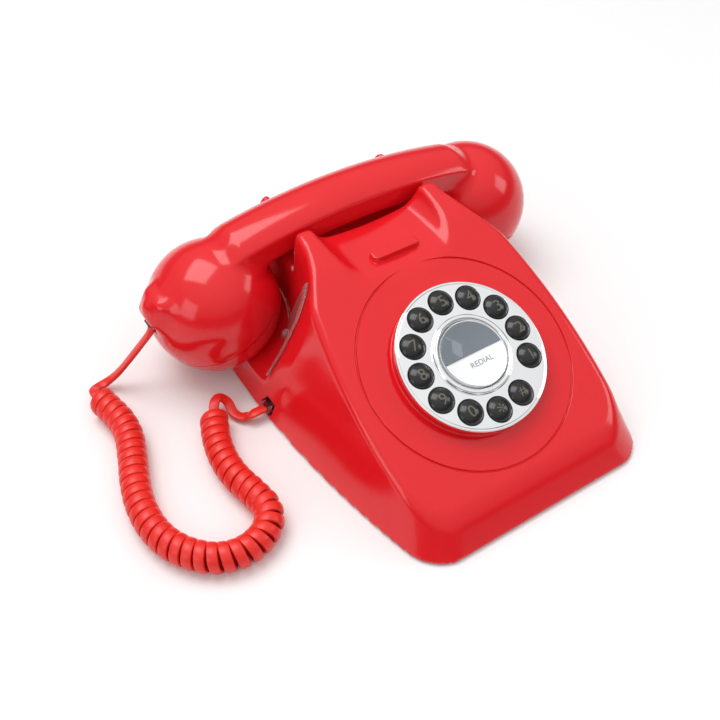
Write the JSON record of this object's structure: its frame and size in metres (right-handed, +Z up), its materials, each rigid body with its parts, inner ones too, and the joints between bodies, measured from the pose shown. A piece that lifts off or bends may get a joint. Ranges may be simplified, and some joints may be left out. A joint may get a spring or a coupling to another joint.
{
  "type": "desk telephone",
  "caption": "Wedge-shaped desk telephone with a round ring of push buttons on a tilted face, a handset lying across its cradle and a coiled cord.",
  "frame": {"origin": "on the floor under the middle of the telephone, measured without its cord", "axes": "+X along the handset towards the earpiece, +Y towards the rear, +Z up"},
  "size_m": [0.2869, 0.212, 0.086],
  "materials": {
    "red_gloss": "gloss",
    "red_cord": "satin",
    "chrome": "polished",
    "black_gloss": "gloss",
    "black_plastic": "satin",
    "grey_plastic": "matte",
    "clear_plastic": "gloss",
    "white_plastic": "gloss",
    "ivory_plastic": "satin",
    "grey_label": "satin",
    "rubber": "matte",
    "silicone": "matte",
    "steel": "brushed",
    "circuit_board": "satin"
  },
  "bodies": {
    "base": {"case_shell": "red_gloss", "base_plate": "grey_plastic", "rubber_feet": "rubber", "base_screws": "steel", "ballast_plate": "steel", "main_board": "circuit_board", "board_screws": "steel", "ringer_sounder": "black_plastic", "hook_switch": "black_plastic", "line_jack": "black_plastic", "handset_jack": "black_plastic", "dial_plate": "chrome", "centre_ring": "chrome", "keypad_frame": "black_plastic", "keypad_board": "circuit_board", "key_mat": "silicone", "base_plug": "clear_plastic", "cord_coil": "red_cord", "cord_tail_base": "red_cord"},
    "handset": {"handset_shell": "red_gloss", "mouth_cap": "red_gloss", "ear_cap": "red_gloss", "microphone": "steel", "receiver": "steel", "handset_weight": "steel", "handset_socket": "black_plastic", "handset_plug": "clear_plastic", "cord_tail_handset": "red_cord"},
    "left_plunger": {"plunger_left": "clear_plastic"},
    "right_plunger": {"plunger_right": "clear_plastic"},
    "rocker": {"hook_rocker": "ivory_plastic"},
    "ringer_slider": {"ringer_switch": "black_plastic"},
    "redial": {"redial_button": "white_plastic", "redial_label": "grey_label", "redial_lens": "clear_plastic"},
    "button_1": {"key_1": "black_gloss"},
    "button_2": {"key_2": "black_gloss"},
    "button_3": {"key_3": "black_gloss"},
    "button_4": {"key_4": "black_gloss"},
    "button_5": {"key_5": "black_gloss"},
    "button_6": {"key_6": "black_gloss"},
    "button_7": {"key_7": "black_gloss"},
    "button_8": {"key_8": "black_gloss"},
    "button_9": {"key_9": "black_gloss"},
    "button_0": {"key_0": "black_gloss"},
    "button_star": {"key_star": "black_gloss"},
    "button_hash": {"key_hash": "black_gloss"}
  },
  "joints": [
    {"name": "handset_lift", "type": "slide", "parent": "base", "child": "handset", "axis": [0, 0, 1], "range_m": [0, 0.06]},
    {"name": "plunger_left_rise", "type": "slide", "parent": "base", "child": "left_plunger", "axis": [0, -0.4305, 0.9026], "range_m": [0, 0.004]},
    {"name": "plunger_right_rise", "type": "slide", "parent": "base", "child": "right_plunger", "axis": [0, -0.4305, 0.9026], "range_m": [0, 0.004]},
    {"name": "rocker_tilt", "type": "hinge", "parent": "base", "child": "rocker", "pos_m": [0, 0.062, 0.0182], "axis": [-1, 0, 0], "range_deg": [0, 11]},
    {"name": "ringer_slide", "type": "slide", "parent": "base", "child": "ringer_slider", "axis": [1, 0, 0], "range_m": [0, 0.007]},
    {"name": "redial_press", "type": "slide", "parent": "base", "child": "redial", "axis": [0, 0.4305, -0.9026], "range_m": [0, 0.0012], "stiffness_N_per_m": 400, "springref_m": -0.0005},
    {"name": "press_1", "type": "slide", "parent": "base", "child": "button_1", "axis": [0, 0.4305, -0.9026], "range_m": [0, 0.0015], "stiffness_N_per_m": 200, "springref_m": -0.0005},
    {"name": "press_2", "type": "slide", "parent": "base", "child": "button_2", "axis": [0, 0.4305, -0.9026], "range_m": [0, 0.0015], "stiffness_N_per_m": 200, "springref_m": -0.0005},
    {"name": "press_3", "type": "slide", "parent": "base", "child": "button_3", "axis": [0, 0.4305, -0.9026], "range_m": [0, 0.0015], "stiffness_N_per_m": 200, "springref_m": -0.0005},
    {"name": "press_4", "type": "slide", "parent": "base", "child": "button_4", "axis": [0, 0.4305, -0.9026], "range_m": [0, 0.0015], "stiffness_N_per_m": 200, "springref_m": -0.0005},
    {"name": "press_5", "type": "slide", "parent": "base", "child": "button_5", "axis": [0, 0.4305, -0.9026], "range_m": [0, 0.0015], "stiffness_N_per_m": 200, "springref_m": -0.0005},
    {"name": "press_6", "type": "slide", "parent": "base", "child": "button_6", "axis": [0, 0.4305, -0.9026], "range_m": [0, 0.0015], "stiffness_N_per_m": 200, "springref_m": -0.0005},
    {"name": "press_7", "type": "slide", "parent": "base", "child": "button_7", "axis": [0, 0.4305, -0.9026], "range_m": [0, 0.0015], "stiffness_N_per_m": 200, "springref_m": -0.0005},
    {"name": "press_8", "type": "slide", "parent": "base", "child": "button_8", "axis": [0, 0.4305, -0.9026], "range_m": [0, 0.0015], "stiffness_N_per_m": 200, "springref_m": -0.0005},
    {"name": "press_9", "type": "slide", "parent": "base", "child": "button_9", "axis": [0, 0.4305, -0.9026], "range_m": [0, 0.0015], "stiffness_N_per_m": 200, "springref_m": -0.0005},
    {"name": "press_0", "type": "slide", "parent": "base", "child": "button_0", "axis": [0, 0.4305, -0.9026], "range_m": [0, 0.0015], "stiffness_N_per_m": 200, "springref_m": -0.0005},
    {"name": "press_star", "type": "slide", "parent": "base", "child": "button_star", "axis": [0, 0.4305, -0.9026], "range_m": [0, 0.0015], "stiffness_N_per_m": 200, "springref_m": -0.0005},
    {"name": "press_hash", "type": "slide", "parent": "base", "child": "button_hash", "axis": [0, 0.4305, -0.9026], "range_m": [0, 0.0015], "stiffness_N_per_m": 200, "springref_m": -0.0005}
  ],
  "couplings": [
    {"joint": "plunger_left_rise", "follows": "handset_lift", "ratio": 0.0666},
    {"joint": "plunger_right_rise", "follows": "handset_lift", "ratio": 0.0666},
    {"joint": "rocker_tilt", "follows": "handset_lift", "rad_per_m": 3.19}
  ]
}
